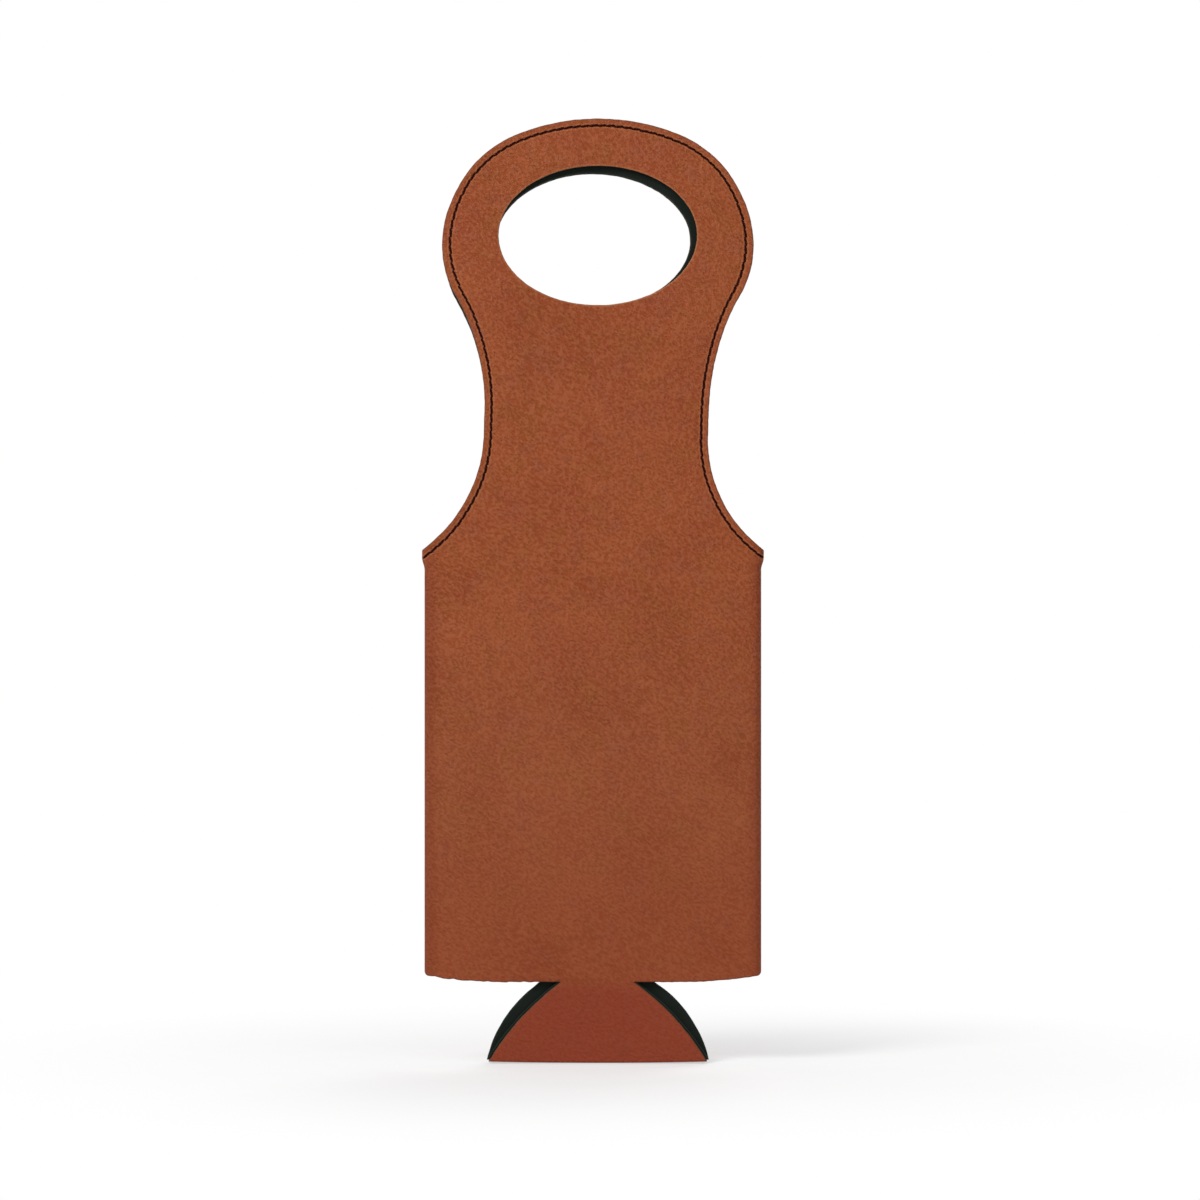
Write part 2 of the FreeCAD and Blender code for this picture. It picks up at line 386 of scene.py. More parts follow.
def ease(value, start, end):
    """0 before start, 1 after end, and a smooth rise between them."""
    share = np.clip((value - start) / (end - start), 0, 1)
    return share * share * (3 - 2 * share)


def off_seam(x):
    """0 at a side seam, where the sheet is held, and 1 away from it."""
    return ease(seam_edge - abs(x), *seam_hold)


def lean(x, z):
    """Shift to the right of the loop and of the base."""
    beside_base = ease(abs(x), *base_lean_reach) * (z > wall_bottom)
    in_base = ease(z, *base_lean_levels) * (1 - beside_base)
    return loop_lean * (ease(z, *loop_lean_levels) + in_base)


def waver(x, z):
    """How far the flat carrier as a whole bends off its middle plane."""
    held = off_seam(x) * ease(z, crease_level, crease_level + 12)
    return waver_height * held * np.sin(x / 7 + z / 19)


def lay(x, z, depth, side):
    """Place in metres of plan points at a depth off the middle plane."""
    out = 1 if side == "back" else -1
    flare = corner_flare * np.sign(x) * ease(abs(x), *flare_reach) * ease(z, *flare_levels)
    drop = corner_drop * ease(abs(x), *drop_reach) * ease(z, *drop_levels)
    bow = crease_bow * ease(z, wall_bottom + 2, crease_level) * (x / crease_half) ** 2
    x_laid = x + lean(x, z) - out * flare
    z_laid = z + bow - drop
    if side == "back":
        held_left = slip_at_left + (1 - slip_at_left) * ease(x, *slip_reach)
        x_laid = x_laid + back_slip[0] * held_left * ease(z, *slip_levels[0])
        z_laid = z_laid + back_slip[1] * ease(z, *slip_levels[1]) ** 2
    y_laid = out * depth + waver(x_laid, z_laid)
    return np.column_stack((x_laid, y_laid, z_laid)) * mm


print("back loop slipped by", back_slip, "mm")

# %% [markdown]
# The walls of the empty pocket stand off each other a little, and the sheet has slow ripples, a few
# tenths of a millimetre high. They are too slight to see as shapes, but they break up the light the way a
# real hide does.

# %% Swell and ripple
pocket_swell = 1.0
swell_run = 60
ripple_height = 0.3
ripple_rng = np.random.default_rng(11)
ripple_ways = ripple_rng.normal(0, 0.07, (9, 2))
ripple_phases = ripple_rng.uniform(0, 2 * math.pi, 9)
back_ripple_shift = 40


def parting(points):
    """How far the pocket's walls stand off the middle plane."""
    x, z = points.T
    in_pocket = ease(z, wall_bottom, wall_bottom + swell_run) * ease(z, seam_top, seam_top - swell_run)
    return off_seam(x) * pocket_swell * in_pocket


def swell(points, side):
    """How far the outer layers stand off the flat, ripples included."""
    shift = 0 if side == "front" else back_ripple_shift
    waves = np.sin((points + shift) @ ripple_ways.T + ripple_phases).mean(1)
    return parting(points) + off_seam(points[:, 0]) * ripple_height * (0.5 + waves)


pocket_middle = np.array([[0, (wall_bottom + seam_top) / 2]])
print("pocket's front stands off by", swell(pocket_middle, "front").round(2), "mm")

# %% [markdown]
# ## The stitch line
#
# The topstitching runs a few millimetres inside the edge from one seam over the crown to the other. The
# thread pulls the leather down into a shallow channel, deepest at the needle holes between two stitches.

# %% Follow the stitch line
stitch_margin = 3.3
stitch_pitch = 3.9
stitch_end = seam_edge - 0.45
stitch_half = stitched_edge(stitch_margin, stitch_end, 0.4)
stitch_line = joined(stitch_half[::-1] * (-1, 1), stitch_half)
stitch_length = step_lengths(stitch_line).sum()
stitch_count = round(stitch_length / stitch_pitch)
stitch_step = stitch_length / stitch_count
channel_depth, channel_reach = 0.28, 1.5
hole_depth, hole_reach = 0.22, 0.6


def near(distance, reach):
    """1 at no distance, falling off like a bell over a reach."""
    return np.exp(-((distance / reach) ** 2))


def stitch_pull(points):
    """How deep the thread pulls the leather in."""
    away, along = nearest_on(points, stitch_line)
    hole = 0.4 + np.cos(math.pi * along / stitch_step) ** 8
    return channel_depth * near(away, channel_reach) + hole_depth * hole * near(away, hole_reach)


print(stitch_count, "stitches of", round(stitch_step, 2), "mm on each face")

# %% [markdown]
# ## Depth of each layer
#
# A cut edge is slightly rounded over. At a side seam the sheet turns in through a quarter circle to meet
# the other face, because the bag is sewn inside out and then turned. At the base crease the leather wraps
# tightly round the fold. The foam takes up the leather's ripples, so its own face stays plain.

# %% Leather and foam as heights over the plan
lip_radius = outer_face - lining_face
lip_start = seam_edge - lip_radius
lip_end = lip_start + lip_radius * math.sin(math.radians(85))
crease_round = 1.0
crease_wrap = 0.9
edge_round = 0.55
foam_round = 0.6
foam_depth = glue_face - lining_face
foam_face = 0.03
glue_gap = 0.02
thinnest = 0.05
lining_pull, lining_pull_reach = 0.55, 1.4


def rounded_off(gap, radius):
    """Drop of a rounded edge at a distance from it."""
    short = np.clip(radius - gap, 0, radius)
    return radius - np.sqrt(radius**2 - short**2)


def turned_in(x, radius, flat):
    """Height of a layer that turns in at the side seam, and flat elsewhere."""
    over = np.clip(abs(x) - lip_start, 0, radius)
    return np.where(abs(x) > lip_start, lining_face + np.sqrt(radius**2 - over**2), flat)


def leather_depths(points, side, cut_gap):
    """Outer and inner height of the leather."""
    x, z = points.T
    stand_off = swell(points, side)
    outer = turned_in(x, lip_radius, outer_face) + stand_off
    outer -= rounded_off(cut_gap, edge_round) + stitch_pull(points)
    outer -= rounded_off(z - crease_level, crease_round)
    inner = turned_in(x, foam_depth, glue_face) + stand_off
    fold = ease(z, crease_level + crease_wrap, crease_level + crease_wrap / 2)
    inner = inner + (foam_face - inner) * fold
    return np.maximum(outer, inner + thinnest), inner


def foam_depths(points, side, cut_gap):
    """Outer and inner height of the foam."""
    outer = turned_in(points[:, 0], foam_depth, glue_face) + swell(points, side) - glue_gap
    pulled = lining_pull * near(nearest_on(points, stitch_line)[0], lining_pull_reach)
    inner = foam_face + parting(points) + rounded_off(cut_gap, foam_round) + pulled
    return np.maximum(outer, inner + thinnest), inner


print("seam lip turns through", round(lip_radius, 2), "mm")

# %% [markdown]
# ## Cutting the sheet where it bends
#
# A piece can bend between two bodies only. So each face is divided into a loop, two shoulders, two halves
# of the pocket wall and half of the base, along lines where both neighbours lie with the wall's middle.

# %% Where each piece bends
shoulder_foot = -262.0
loop_foot = -140.0
base_bend_run = 9.0
bend_row_step = 1.5
foot_rise = loop_foot - neck_bottom
shoulder_at_foot = shoulder_centre[0] - math.sqrt(shoulder_radius**2 - foot_rise**2)


def part_at(points, side):
    """Name of the piece that each point of a face belongs to."""
    x, z = points.T
    hand = np.where(x < 0, "left", "right")
    names = np.where(z > shoulder_foot, np.char.add(hand, "_shoulder"), hand)
    names = np.where(z > loop_foot, "loop", names)
    in_base = (z < wall_bottom - 1) | ((z < wall_bottom) & (abs(x) < base_roots[side] + 0.4))
    return np.where(in_base, "base", names)


def cut_lines(side):
    """Lines that stay edges of the mesh: where the pieces part, and rows along the base's bend."""
    reach = shoulder_at_foot + 3
    root = base_roots[side] + 1
    bend_rows = wall_bottom - np.arange(bend_row_step, base_bend_run + bend_row_step, bend_row_step)
    return [
        ((-reach, loop_foot), (reach, loop_foot)),
        ((0, loop_foot), (0, wall_bottom)),
        ((-seam_edge - 2, shoulder_foot), (0, shoulder_foot)),
        ((0, shoulder_foot), (seam_edge + 2, shoulder_foot)),
        ((-root, wall_bottom), (root, wall_bottom)),
        *(((-root - 12, level), (root + 12, level)) for level in bend_rows),
    ]


part_nodes = {
    "loop": ["handle"],
    "base": ["base"],
    "left": ["wall", "left"],
    "right": ["wall", "right"],
    "left_shoulder": ["wall", "left"],
    "right_shoulder": ["wall", "right"],
}
print("shoulders bend from", shoulder_foot, "to", loop_foot)

# %% [markdown]
# ## From plan to pieces
#
# Each piece becomes a thin closed shell: an outer skin, an inner skin and a wall round its rim. If every
# piece worked out its own shading, the cuts would show as faint lines. So the normals come from the whole
# sheet.

# %% Build the shells of a sheet
def unit(ways):
    return ways / np.maximum(np.linalg.norm(ways, axis=1), 1e-12)[:, None]


def vertex_normals(places, triangles):
    """Shading direction at each vertex, from all the triangles round it."""
    a, b, c = (places[triangles[:, i]] for i in range(3))
    faces = np.cross(b - a, c - a)
    total = np.zeros_like(places)
    for i in range(3):
        np.add.at(total, triangles[:, i], faces)
    return unit(total)


def rim_of(triangles):
    """Edges that only one of the triangles has, in its own direction."""
    sides = np.concatenate([triangles[:, [0, 1]], triangles[:, [1, 2]], triangles[:, [2, 0]]])
    key = np.sort(sides, axis=1)
    _, index, uses = np.unique(key, axis=0, return_index=True, return_counts=True)
    return sides[index[uses == 1]]


def put_in_scene(name, data):
    thing = bpy.data.objects.new(name, data)
    bpy.context.scene.collection.objects.link(thing)
    return thing


def smooth_piece(name, places, faces):
    """A mesh object with smooth shading."""
    mesh = bpy.data.meshes.new(name)
    mesh.from_pydata(places.tolist(), [], faces)
    mesh.polygons.foreach_set("use_smooth", np.ones(len(faces), bool))
    return put_in_scene(name, mesh)


def shell(name, surfaces, normals, triangles, marks):
    """Mesh object of one piece: outer skin, inner skin and rim."""
    used, local = np.unique(triangles, return_inverse=True)
    local = local.reshape(-1, 3)
    count = len(used)
    start, end = rim_of(local).T
    places = np.concatenate([surface[used] for surface in surfaces])
    walls = np.column_stack((start, start + count, end + count, end))
    faces = local.tolist() + (local[:, ::-1] + count).tolist() + walls.tolist()
    piece = smooth_piece(name, places, faces)
    rim_ways = unit(np.cross(places[start + count] - places[start], places[end] - places[start]))
    rim_total = np.zeros((count, 3))
    np.add.at(rim_total, start, rim_ways)
    np.add.at(rim_total, end, rim_ways)
    corners = np.column_stack((start, start, end, end)).ravel()
    skin_normals = normals[0][used][local.ravel()], normals[1][used][local[:, ::-1].ravel()]
    shading = np.concatenate((*skin_normals, unit(rim_total)[corners]))
    finish = np.repeat([0, 1], [len(local), len(local) + len(walls)])
    piece.data.polygons.foreach_set("material_index", finish)
    piece.data.normals_split_custom_set(shading.tolist())
    for mark, (upper, lower) in marks.items():
        values = np.concatenate((upper[used], lower[used])).astype(np.float32)
        kind, field = ("FLOAT_VECTOR", "vector") if values.ndim == 2 else ("FLOAT", "value")
        piece.data.attributes.new(mark, kind, "POINT").data.foreach_set(field, values.ravel())
    return piece


print("rim edges round two triangles:", len(rim_of(np.array([[0, 1, 2], [2, 1, 3]]))))

# %% [markdown]
# Each vertex stores its own place on the sheet. The grain is looked up there, so it stays put on the
# leather when the pocket opens, and the back, another stretch of hide, gets another part of the pattern.
# The distances to the cut edge, the hole and the stitches are stored too, for the raw edge's colour and for
# painted shade and painted highlights near them.

# %% Make all pieces of one layer
back_grain_shift = 430.0


def layer_pieces(layer, side, plan, depths, cut_gap):
    """Every piece of the leather or the foam of one face, by part."""
    points, triangles = plan
    both_depths = depths(points, side, cut_gap)
    surfaces = [lay(*points.T, depth, side) for depth in both_depths]
    facing = triangles if side == "front" else triangles[:, ::-1]
    normals = vertex_normals(surfaces[0], facing), vertex_normals(surfaces[1], facing[:, ::-1])
    grain_x = points[:, 0] + (0 if side == "front" else back_grain_shift)
    marks = {"sheet_place": [np.column_stack((grain_x, depth, points[:, 1])) for depth in both_depths]}
    marks["edge_gap"] = [cut_gap] * 2
    marks["stitch_gap"] = [nearest_on(points, stitch_line)[0]] * 2
    marks["hole_gap"] = [nearest_on(points, closed(hole_outline(0, 1.0)))[0]] * 2
    parts = part_at(points[triangles].mean(1), side)
    pieces = {}
    for part in part_nodes:
        name = f"{side}_{part}_{layer}"
        pieces[part] = shell(name, surfaces, normals, facing[parts == part], marks)
    return pieces


print("each layer has", len(part_nodes), "pieces on each face")

# %% [markdown]
# ## Raw edges
#
# The edges are die-cut and left raw. They waver by some hundredths of a millimetre, and along the left
# bottom of the wall, where the backing frays, by more. The seams and the crease are folds, not cuts, and
# stay smooth.

# %% Roughen a cut edge
def roughened(loop, seed, amount, at_foot=0.0):
    """The outline with its cut edges uneven by an amount, and by another at the wall's left foot."""
    uneven = np.random.default_rng(seed).normal(0, 1, len(loop))
    uneven = (np.roll(uneven, 1) + 2 * uneven + np.roll(uneven, -1)) / 3
    x, z = loop.T
    foot = (abs(z - wall_bottom) < bottom_lift + 1) & (x < -base_roots["back"] - 1)
    size = np.where(foot, at_foot, amount)
    fold = (abs(x) > seam_edge - corner_radius - 1) | (z < crease_level + 2)
    return loop + inward_ways(loop) * (uneven * np.where(fold, 0, size))[:, None]


def gap_to_cuts(points, loops):
    """Distance to the nearest cut edge: the hole or a run of the outline that isn't a fold."""
    x, z = loops[0].T
    fold = (abs(x) > abs(x).max() - 0.3) | (z < z.min() + 0.3)
    gap = nearest_on(points, closed(loops[1]))[0]
    open_step = ~(fold & np.roll(fold, -1))
    for start in np.flatnonzero(open_step & ~np.roll(open_step, 1)):
        steps = np.argmin(np.roll(open_step, -start))
        run = np.take(loops[0], np.arange(start, start + steps + 1), axis=0, mode="wrap")
        gap = np.minimum(gap, nearest_on(points, run)[0])
    return gap


plain_hole = hole_outline(0, 1.0)
uneven_by = abs(roughened(plain_hole, 6, amount=0.04) - plain_hole).max()
print("the hole's edge wavers by up to", round(uneven_by, 2), "mm")

# %% [markdown]
# ## Cutting leather and foam
#
# Both layers go through the same steps: outline, roughened edge, mesh, depths, pieces. The foam is cut a
# little short of the leather, and squeezed out at the sides of the base. It is hardly seen up close, so
# its mesh is coarser.

# %% Cut the foam and the leather
leather_insets = [0.12, 0.35, 0.75, 1.4, 2.1, 2.7, 3.3, 3.9, 4.8]
leather_pitch, leather_step = 3.2, 0.9
foam_insets = [0.2, 0.6, 1.5, 2.4, 3.3, 4.2, 5.2]
foam_pitch, foam_step = 5.0, 1.6
foam_short, foam_squeezed, foam_hole_wider = 0.25, 0.8, 0.2
foam_seam = lip_start + foam_depth
foam_foot = crease_level + crease_wrap

linings, skins, skin_plans = {}, {}, {}
for side, seed in (("front", 3), ("back", 5)):
    foam_outline = outline(side, foam_short, -foam_squeezed, foam_seam, foam_foot, foam_step)
    loops = [
        roughened(foam_outline, seed, amount=0.06, at_foot=0.1),
        roughened(hole_outline(foam_hole_wider, foam_step), seed + 1, amount=0.1),
    ]
    plan = plan_mesh(loops, cut_lines(side), foam_insets, foam_pitch, seed)
    linings[side] = layer_pieces("lining", side, plan, foam_depths, gap_to_cuts(plan[0], loops))
    leather_outline = outline(side, 0, 0, lip_end, crease_level, leather_step)
    loops = [
        roughened(leather_outline, seed + 2, amount=0.05, at_foot=0.13),
        roughened(hole_outline(0, leather_step), seed + 3, amount=0.04),
    ]
    plan = plan_mesh(loops, cut_lines(side), leather_insets, leather_pitch, seed)
    skins[side] = layer_pieces("skin", side, plan, leather_depths, gap_to_cuts(plan[0], loops))
    skin_plans[side] = plan
    print(side, "leather has", len(plan[0]), "points and", len(plan[1]), "triangles")

# %% [markdown]
# ## Stitches
#
# Each stitch is its own short length of two-ply thread: it comes up out of a needle hole, lies in the
# channel a little askew, as a lockstitch does, and goes down the next hole. The two plies are modelled by
# a section with two lobes that turns along the stitch.

# %% Lay one stitch
thread_radius = 0.5
thread_rings = 9
thread_sides = 10
stitch_turns = 1.3
ply_bulge = 0.17
thread_end_size = 0.72
stitch_overlap = 0.02
stitch_slant = 0.27
stitch_jitter = 0.05
thread_rng = np.random.default_rng(23)
stitch_reached = np.concatenate(([0], np.cumsum(step_lengths(stitch_line))))


def thread_stretch(centres, across, up, radius, turns):
    """Vertices and faces of a two-ply thread along its centre line."""
    share = np.linspace(0, 1, len(centres))
    around = full_turn(thread_sides)
    lobes = 1 + ply_bulge * np.cos(2 * (around - 2 * math.pi * turns * share[:, None]))
    fullness = np.sqrt(np.sin(math.pi * np.clip(share, 0.02, 0.98)))
    size = (radius * (thread_end_size + (1 - thread_end_size) * fullness))[:, None] * lobes
    ring = np.cos(around)[:, None] * across + np.sin(around)[:, None] * up
    rings = centres[:, None] + size[..., None] * ring
    here = np.arange(len(centres) - 1)[:, None] * thread_sides
    this = np.arange(thread_sides)
    following = (this + 1) % thread_sides
    ahead = here + thread_sides
    quads = np.stack((here + this, here + following, ahead + following, ahead + this), 2)
    caps = [tuple(this[::-1]), tuple(this + ahead[-1])]
    return rings.reshape(-1, 3), quads.reshape(-1, 4).tolist() + caps


def stitch_centres(index):
    """Plan points along a stitch, the way across it, and its rise from 0 at the holes to 1 in the middle."""
    share = np.linspace(0, 1, thread_rings)
    lengths = (index - stitch_overlap + (1 + 2 * stitch_overlap) * share) * stitch_step
    line = np.column_stack([np.interp(lengths, stitch_reached, places) for places in stitch_line.T])
    ahead = line[-1] - line[0]
    aside = np.array([-ahead[1], ahead[0]]) / np.linalg.norm(ahead)
    wander = stitch_slant * (2 * share - 1) + thread_rng.normal(0, stitch_jitter)
    return line + wander[:, None] * aside, aside, np.sin(math.pi * share)


print("a stitch has", thread_sides * thread_rings, "points")

# %% [markdown]
# A lockstitch has two threads. The needle thread lies on the leather and shows from outside. The bobbin
# thread does the same on the lining, but it is pulled deep into the soft foam, so the two faces can lie
# close together.

# %% Sew both faces
hole_sink, needle_rise = 0.3, 0.42
bobbin_sink, bobbin_rise = 0.3, 0.25


def sew(side):
    """Stitch meshes of one face, by the part that they bend with."""
    made = {part: ([], []) for part in ("loop", "left_shoulder", "right_shoulder")}
    up = np.array([0, 1 if side == "back" else -1, 0])
    for index in range(stitch_count):
        line, aside, rise = stitch_centres(index)
        surface = turned_in(line[:, 0], lip_radius, outer_face) + swell(line, side)
        needle = surface - channel_depth - hole_sink + needle_rise * np.sqrt(rise)
        lining = foam_face + parting(line) + 1.25 * thread_radius
        bobbin = lining + bobbin_sink - bobbin_rise * np.sqrt(rise)
        across = np.array([aside[0], 0, aside[1]])
        part = str(part_at(line[len(line) // 2][None], side)[0])
        placed, all_faces = made[part]
        for level in (needle, bobbin):
            centres = lay(*line.T, level, side)
            places, faces = thread_stretch(centres, across, up, thread_radius * mm, stitch_turns)
            first = sum(len(some) for some in placed)
            placed.append(places)
            all_faces += [tuple(first + corner for corner in face) for face in faces]
    return made


topstitches = {}
for side in ("front", "back"):
    topstitches[side] = {}
    for part, (placed, faces) in sew(side).items():
        topstitches[side][part] = smooth_piece(f"{side}_{part}_topstitch", np.concatenate(placed), faces)
    print(side, "stitches", {part: len(piece.data.vertices) for part, piece in topstitches[side].items()})

# %% [markdown]
# ## Seam threads
#
# The side seams are sewn inside out, so their thread hides between the two turned-in lips. It shows only
# as a dark line at the bottom of the valley when the pocket is open.

# %% Lay the seam threads
seam_thread_radius = 0.25
seam_thread_inset = 0.4
seam_turn_length = 3.0
seam_threads = {}
for hand, out in (("left", -1), ("right", 1)):
    low, high = node_box(hand + "_seam_thread")
    levels = np.arange(low[2], high[2], 1.0)
    x = np.full(len(levels), out * (seam_edge - seam_thread_inset))
    centres = lay(x, levels, np.zeros(len(levels)), "front")
    turns = len(levels) / seam_turn_length
    across, up = np.array([1, 0, 0]), np.array([0, 1, 0])
    places, faces = thread_stretch(centres, across, up, seam_thread_radius * mm, turns)
    seam_threads[hand] = smooth_piece(hand + "_seam_stitches", places, faces)
print("seam threads", round(high[2] - low[2], 1), "mm long")

# %% [markdown]
# ## Materials
#
# The finishes are built from nodes alone. A few small helpers add a node, set its sockets and mix
# colours, so that each recipe below reads from top to bottom. A socket knows which tree it is in.

# %% Node helpers
def new_material(name):
    material = bpy.data.materials.new(name)
    material.use_nodes = True
    return material, material.node_tree, material.node_tree.nodes["Principled BSDF"]


def feed(socket, value):
    """Set a socket, or link it if the value comes out of another node."""
    if isinstance(value, bpy.types.NodeSocket):
        socket.id_data.links.new(value, socket)
    else:
        socket.default_value = value


def add(tree, kind, settings=None, *values, **named):
    """A new node with its sockets fed in order, or by name with an underscore for each space."""
    node = tree.nodes.new("ShaderNode" + kind)
    for name, value in (settings or {}).items():
        setattr(node, name, value)
    for socket, value in zip(node.inputs, values):
        feed(socket, value)
    for name, value in named.items():
        feed(node.inputs[name.replace("_", " ")], value)
    return node


def maths(operation, *values):
    tree = next(value.id_data for value in values if isinstance(value, bpy.types.NodeSocket))
    return add(tree, "Math", {"operation": operation}, *values).outputs[0]


def stretch(value, low, high, to_low=0.0, to_high=1.0):
    """Map a value smoothly from one range to another and stop at its ends."""
    settings = {"interpolation_type": "SMOOTHSTEP"}
    return add(value.id_data, "MapRange", settings, value, low, high, to_low, to_high).outputs[0]


def mixed(share, first, second):
    """Colour between two colours."""
    node = add(share.id_data, "Mix", {"data_type": "RGBA"}, share)
    colours = [socket for socket in node.inputs if socket.type == "RGBA"]
    feed(colours[0], first)
    feed(colours[1], second)
    return [socket for socket in node.outputs if socket.type == "RGBA"][0]


def tinted(colour, tint, value, low, high, at_low, at_high=0.0):
    """Colour with a share of a tint that follows a value."""
    return mixed(stretch(value, low, high, at_low, at_high), colour, tint)


def noise(place, scale, detail=3.0, distortion=0.0):
    sizes = {"Scale": scale, "Detail": detail, "Distortion": distortion}
    return add(place.id_data, "TexNoise", Vector=place, **sizes).outputs["Fac"]


def stored(tree, name, output="Fac"):
    """What was stored with each vertex under a name."""
    return add(tree, "Attribute", {"attribute_name": name}).outputs[output]


def turned(place, degrees, along, across):
    """The sheet's place turned and scaled, for a grain with a direction."""
    turn = add(place.id_data, "Mapping", Vector=place, Rotation=(0, math.radians(degrees), 0))
    return add(place.id_data, "Mapping", Vector=turn.outputs[0], Scale=(along, 1, across)).outputs[0]


def coat(shader, colour, height, depth, strength, roughness, specular):
    """Give a shader its colour, its bumps, its roughness and its shine."""
    bump = add(shader.id_data, "Bump", Height=height, Strength=strength, Distance=depth * mm)
    feed(shader.inputs["Base Color"], colour)
    feed(shader.inputs["Normal"], bump.outputs["Normal"])
    feed(shader.inputs["Roughness"], roughness)
    feed(shader.inputs["Specular IOR Level"], specular)


print("materials before the recipes:", len(bpy.data.materials))

# %% [markdown]
# ## Tan leatherette
#
# Up close the leatherette has a fine pebble grain, short dashes where the embossing roll pressed, and
# bundles of fine creases that run down to the right. All three are heights, so that light and colour can
# follow them, and they get shallower towards the foot.

# %% Emboss the leatherette
crease_angle = -36
dash_angle = -14
mean_height = 0.3


def leather_pits(place):
    """Short dashes of the embossing, 0 to 1, which the colour darkens with painted shade."""
    slanted = turned(place, dash_angle, 0.6, 1.0)
    cells = add(place.id_data, "TexVoronoi", Vector=slanted, Scale=1.2)
    chosen = add(place.id_data, "SeparateColor", Color=cells.outputs["Color"]).outputs[0]
    dash = stretch(cells.outputs["Distance"], 0.1, 0.5, 1, 0)
    return maths("MULTIPLY", dash, stretch(chosen, 0.2, 0.8))


def leather_creases(place):
    """Bundles of fine creases that run down to the right, 0 to 1."""
    strands = noise(turned(place, crease_angle, 0.19, 0.75), 1.0, 2.0, 0.8)
    ridge = maths("ABSOLUTE", maths("SUBTRACT", strands, 0.5))
    where = stretch(noise(place, 0.022), 0.36, 0.72)
    return maths("MULTIPLY", stretch(ridge, 0.0, 0.07, 1, 0), where)


def leather_height(place, level):
    """Pebbles, less the dashes and the creases, shallower towards the foot."""
    pebbles = stretch(noise(turned(place, crease_angle, 0.6, 1.0), 0.95, 1.0), 0.25, 0.75)
    height = maths("MULTIPLY_ADD", leather_pits(place), -0.4, pebbles)
    height = maths("MULTIPLY_ADD", leather_creases(place), -0.35, height)
    grain = stretch(level, wall_bottom - 20, wall_bottom + 200, 0.55, 1)
    return maths("MULTIPLY_ADD", maths("SUBTRACT", height, mean_height), grain, mean_height)


print("creases turned by", crease_angle, "degrees and dashes by", dash_angle)

# %% [markdown]
# The colour starts with slow clouds of tan, red, plum and olive brown. Then come the washes, one over the
# other: painted shade low on the wall and at its foot, painted shade in the pits, a painted sheen on the
# high spots, painted shade at the seams and on the base, a raw brown with painted shade at the cut edges,
# and painted highlights at the hole and beside the stitches.

# %% Colour the leatherette
tan = (0.266, 0.0565, 0.0118, 1)
red_brown = (0.248, 0.0478, 0.0103, 1)
plum_brown = (0.234, 0.0502, 0.0158, 1)
olive_brown = (0.238, 0.0554, 0.0083, 1)
# painted shade: darkens the lower part of the wall
low_shade_brown = (0.205, 0.0590, 0.0210, 1)
# painted shade: darkens the wall towards its foot
foot_shade_brown = (0.200, 0.0200, 0.0030, 1)
# painted shade for the low parts of the grain and for the rounded lips at the side seams
painted_shade_brown = (0.150, 0.0200, 0.0030, 1)
# painted sheen: a pale tint on the grain's high spots in place of a shine
sheen_tan = (0.450, 0.1600, 0.0750, 1)
# painted highlight along the hole's edge and beside the stitches
highlight_tan = (0.400, 0.1350, 0.0500, 1)
# raw edge colour, partly painted shade along the cut edge
raw_edge_shade_brown = (0.110, 0.0440, 0.0180, 1)
# painted shade: darkens the base below the wall
base_shade_brown = (0.217, 0.0275, 0.0103, 1)
# distance in mm from the stitch line where the painted highlight beside the stitches is brightest
highlight_from_stitch = 0.9


def leather_clouds(place):
    """The slow changes of colour."""
    colour = tinted(red_brown, tan, noise(place, 0.03, 3.0, 0.6), 0.36, 0.62, 0, 1)
    colour = tinted(colour, plum_brown, noise(place, 0.12, 2.0), 0.5, 0.72, 0, 0.8)
    far = add(place.id_data, "Mapping", Vector=place, Location=(71, 0, 33)).outputs[0]
    return tinted(colour, olive_brown, noise(far, 0.09, 2.0), 0.5, 0.72, 0, 0.8)


def tan_leatherette():
    material, tree, shader = new_material("tan_leatherette")
    place = stored(tree, "sheet_place", "Vector")
    across, _, level = add(tree, "SeparateXYZ", Vector=place).outputs
    height = leather_height(place, level)
    # distance from the side seams, where painted shade darkens the rounded lips
    to_seam = maths("SUBTRACT", seam_edge, maths("PINGPONG", across, back_grain_shift / 2))
    # painted highlight where the leather bulges beside the stitches
    off_highlight_line = maths("SUBTRACT", stored(tree, "stitch_gap"), highlight_from_stitch)
    beside_stitch = maths("ABSOLUTE", off_highlight_line)
    colour = leather_clouds(place)
    washes = (
        # painted shade over the lower wall
        (low_shade_brown, level, wall_bottom + 70, wall_bottom + 210, 0.26),
        # painted shade towards the foot of the wall
        (foot_shade_brown, level, wall_bottom + 5, wall_bottom + 100, 0.28),
        # painted shade in the low parts of the grain
        (painted_shade_brown, height, -0.35, 0.55, 0.24),
        # painted sheen on the high spots
        (sheen_tan, height, 0.0, 0.9, 0, 0.16),
        # painted shade towards the side seams
        (painted_shade_brown, to_seam, 0.5, 8, 0.42),
        # painted shade over the base
        (base_shade_brown, level, wall_bottom - 6, wall_bottom + 4, 0.6),
        # raw edge brown with painted shade at the cut edge
        (raw_edge_shade_brown, stored(tree, "edge_gap"), 0.15, 0.7, 0.75),
        # painted highlight along the hole's edge
        (highlight_tan, stored(tree, "hole_gap"), 0.2, 1.0, 0.75),
        # painted highlight beside the stitches
        (highlight_tan, beside_stitch, 0.1, 0.5, 0.45),
    )
    for wash in washes:
        colour = tinted(colour, *wash)
    roughness = stretch(height, -0.3, 0.8, 0.72, 0.5)
    coat(shader, colour, height, depth=0.38, strength=1.0, roughness=roughness, specular=0.2)
    return material


leather = tan_leatherette()
print("the leatherette has", len(leather.node_tree.nodes), "nodes")

